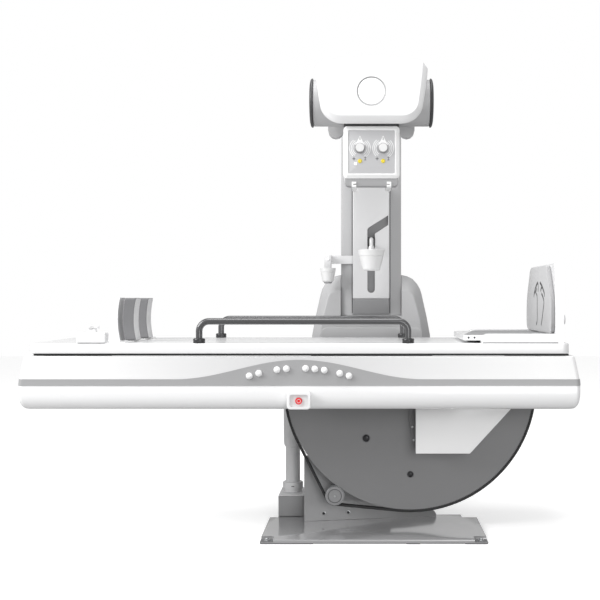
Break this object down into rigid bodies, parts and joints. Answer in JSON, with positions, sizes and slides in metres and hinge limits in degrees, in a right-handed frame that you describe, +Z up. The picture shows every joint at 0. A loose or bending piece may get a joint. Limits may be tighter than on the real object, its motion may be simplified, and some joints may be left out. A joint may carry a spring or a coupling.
{
  "type": "tilting x-ray table",
  "caption": "Remote-controlled tilting radiography and fluoroscopy table on a toothed sector, with an over-table x-ray tube column, compression arm, handrails, shoulder rests and footrest.",
  "frame": {"origin": "on the floor, under the middle of the tabletop", "axes": "+X from the head end to the foot end, +Y from the operator's side to the tube column behind, +Z up"},
  "size_m": [2.26, 1.0823, 1.998],
  "materials": {
    "white_gloss": "glossy moulded plastic",
    "white_paint": "white gloss paint",
    "pale_paint": "pale grey satin paint",
    "pale_plastic": "pale grey moulded plastic",
    "grey_paint": "mid grey satin paint",
    "grey_trim": "mid grey trim",
    "cast_frame": "plain aluminium",
    "mast_metal": "pale grey painted aluminium",
    "dark_metal": "dark grey gloss paint",
    "dark_plastic": "dark grey plastic",
    "belt_rubber": "black toothed belt",
    "sleeve_rubber": "pale grey bellows sleeve",
    "steel": "machined steel",
    "bronze": "sintered bronze",
    "pad_foam": "grey skinned foam pad",
    "red_button": "red moulded plastic",
    "yellow_button": "yellow moulded plastic",
    "button_white": "white button cap"
  },
  "bodies": {
    "stand": {"base_plate": "grey_paint", "stand_plate": "grey_paint", "stand_column": "grey_paint", "trunnion_shaft": "steel", "drive_gearmotor": "dark_metal", "junction_box": "grey_paint", "riser_tube": "pale_plastic", "riser_sleeve": "sleeve_rubber"},
    "pulley": {"drive_pulley": "steel"},
    "tilt_frame": {"sector_gear": "grey_paint", "drive_belt": "belt_rubber", "cradle_frame": "grey_paint", "cradle_cover": "white_gloss", "trunnion_bush_front": "bronze", "trunnion_bush_rear": "bronze"},
    "table_body": {"table_frame": "cast_frame", "front_fascia": "white_gloss", "rear_fascia": "white_gloss", "head_end_cap": "white_gloss", "foot_end_cap": "white_gloss", "decor_band": "grey_trim", "emergency_stop_housing": "white_gloss", "belly_pan": "white_paint", "column_rail": "steel"},
    "stop_button": {"emergency_stop_button": "red_button"},
    "tabletop": {"tabletop": "white_gloss"},
    "rail_front": {"handrail_front": "dark_metal"},
    "rail_rear": {"handrail_rear": "dark_metal"},
    "shoulder_rest": {"shoulder_rest_frame": "white_gloss", "shoulder_pad_front": "pad_foam", "shoulder_pad_rear": "pad_foam"},
    "shoulder_knob": {"shoulder_rest_knob": "pale_plastic"},
    "footrest": {"footrest_base": "white_gloss", "footrest_board": "grey_trim"},
    "foot_knob": {"footrest_knob": "pale_plastic"},
    "tower": {"tower_housing": "pale_plastic", "column": "pale_paint", "column_panel": "pale_plastic", "detector_tray": "dark_plastic", "side_bracket": "pale_paint", "side_cone": "white_gloss"},
    "compressor": {"compression_arm": "mast_metal", "compression_cone": "white_gloss"},
    "mast": {"tube_mast": "mast_metal"},
    "tube_head": {"tube_housing": "mast_metal", "tube_cover": "white_gloss"},
    "collimator": {"collimator_housing": "white_gloss"},
    "knob_left": {"field_knob_left": "white_gloss"},
    "knob_right": {"field_knob_right": "white_gloss"},
    "light_left": {"light_button_left": "yellow_button"},
    "light_right": {"light_button_right": "yellow_button"},
    "button_1": {"control_button_1": "button_white"},
    "button_2": {"control_button_2": "button_white"},
    "button_3": {"control_button_3": "button_white"},
    "button_4": {"control_button_4": "button_white"},
    "button_5": {"control_button_5": "button_white"},
    "button_6": {"control_button_6": "button_white"},
    "button_7": {"control_button_7": "button_white"},
    "button_8": {"control_button_8": "button_white"},
    "button_9": {"control_button_9": "button_white"}
  },
  "joints": [
    {"name": "table_tilt", "type": "hinge", "parent": "stand", "child": "tilt_frame", "pos_m": [0.4554, 0, 0.6106], "axis": [0, 1, 0], "range_deg": [-20, 90], "deforming": ["drive_belt", "riser_sleeve"]},
    {"name": "pulley_spin", "type": "hinge", "parent": "stand", "child": "pulley", "pos_m": [0.13406, 0, 0.13954], "axis": [0, 1, 0], "range_deg": [-330, 1430]},
    {"name": "table_shift", "type": "slide", "parent": "tilt_frame", "child": "table_body", "axis": [1, 0, 0], "range_m": [-0.24, 0.06]},
    {"name": "emergency_stop_press", "type": "slide", "parent": "table_body", "child": "stop_button", "axis": [0, 1, 0], "range_m": [0, 0.005], "stiffness_N_per_m": 1200},
    {"name": "tabletop_float", "type": "slide", "parent": "table_body", "child": "tabletop", "axis": [0, 1, 0], "range_m": [-0.1, 0.1]},
    {"name": "handrail_front_slide", "type": "slide", "parent": "tabletop", "child": "rail_front", "axis": [1, 0, 0], "range_m": [-0.15, 0.15]},
    {"name": "handrail_rear_slide", "type": "slide", "parent": "tabletop", "child": "rail_rear", "axis": [1, 0, 0], "range_m": [-0.15, 0.15]},
    {"name": "shoulder_rest_slide", "type": "slide", "parent": "tabletop", "child": "shoulder_rest", "axis": [1, 0, 0], "range_m": [-0.12, 0.15]},
    {"name": "shoulder_knob_turn", "type": "hinge", "parent": "shoulder_rest", "child": "shoulder_knob", "pos_m": [-0.8345, -0.322, 0.8476], "axis": [0, 0, 1], "range_deg": [-180, 180]},
    {"name": "footrest_slide", "type": "slide", "parent": "tabletop", "child": "footrest", "axis": [1, 0, 0], "range_m": [-0.15, 0.05]},
    {"name": "footrest_knob_turn", "type": "hinge", "parent": "footrest", "child": "foot_knob", "pos_m": [1.0626, -0.2, 0.8976], "axis": [1, 0, 0], "range_deg": [-180, 180]},
    {"name": "column_travel", "type": "slide", "parent": "table_body", "child": "tower", "axis": [1, 0, 0], "range_m": [-0.9, 0.35]},
    {"name": "compressor_lift", "type": "slide", "parent": "tower", "child": "compressor", "axis": [0, 0, 1], "range_m": [-0.2, 0.02]},
    {"name": "tube_lift", "type": "slide", "parent": "tower", "child": "mast", "axis": [0, 0, 1], "range_m": [0, 0.4]},
    {"name": "tube_rotation", "type": "hinge", "parent": "mast", "child": "tube_head", "pos_m": [0.291, 0.17, 1.83], "axis": [0, 1, 0], "range_deg": [-90, 90]},
    {"name": "collimator_rotation", "type": "hinge", "parent": "tube_head", "child": "collimator", "pos_m": [0.291, 0, 1.715], "axis": [0, 0, 1], "range_deg": [-45, 45]},
    {"name": "button_press_1", "type": "slide", "parent": "table_body", "child": "button_1", "axis": [0, 1, 0], "range_m": [0, 0.003], "stiffness_N_per_m": 400},
    {"name": "button_press_2", "type": "slide", "parent": "table_body", "child": "button_2", "axis": [0, 1, 0], "range_m": [0, 0.003], "stiffness_N_per_m": 400},
    {"name": "button_press_3", "type": "slide", "parent": "table_body", "child": "button_3", "axis": [0, 1, 0], "range_m": [0, 0.003], "stiffness_N_per_m": 400},
    {"name": "button_press_4", "type": "slide", "parent": "table_body", "child": "button_4", "axis": [0, 1, 0], "range_m": [0, 0.003], "stiffness_N_per_m": 400},
    {"name": "button_press_5", "type": "slide", "parent": "table_body", "child": "button_5", "axis": [0, 1, 0], "range_m": [0, 0.003], "stiffness_N_per_m": 400},
    {"name": "button_press_6", "type": "slide", "parent": "table_body", "child": "button_6", "axis": [0, 1, 0], "range_m": [0, 0.003], "stiffness_N_per_m": 400},
    {"name": "button_press_7", "type": "slide", "parent": "table_body", "child": "button_7", "axis": [0, 1, 0], "range_m": [0, 0.003], "stiffness_N_per_m": 400},
    {"name": "button_press_8", "type": "slide", "parent": "table_body", "child": "button_8", "axis": [0, 1, 0], "range_m": [0, 0.003], "stiffness_N_per_m": 400},
    {"name": "button_press_9", "type": "slide", "parent": "table_body", "child": "button_9", "axis": [0, 1, 0], "range_m": [0, 0.003], "stiffness_N_per_m": 400},
    {"name": "field_knob_left_turn", "type": "hinge", "parent": "collimator", "child": "knob_left", "pos_m": [0.242, -0.106, 1.62], "axis": [0, 1, 0], "range_deg": [-120, 120]},
    {"name": "light_press_left", "type": "slide", "parent": "collimator", "child": "light_left", "axis": [0, 1, 0], "range_m": [0, 0.002], "stiffness_N_per_m": 300},
    {"name": "field_knob_right_turn", "type": "hinge", "parent": "collimator", "child": "knob_right", "pos_m": [0.34, -0.106, 1.62], "axis": [0, 1, 0], "range_deg": [-120, 120]},
    {"name": "light_press_right", "type": "slide", "parent": "collimator", "child": "light_right", "axis": [0, 1, 0], "range_m": [0, 0.002], "stiffness_N_per_m": 300}
  ],
  "couplings": [
    {"joint": "pulley_spin", "follows": "table_tilt", "ratio": 15.721},
    {"joint": "table_shift", "follows": "table_tilt", "m_per_rad": -0.15}
  ]
}
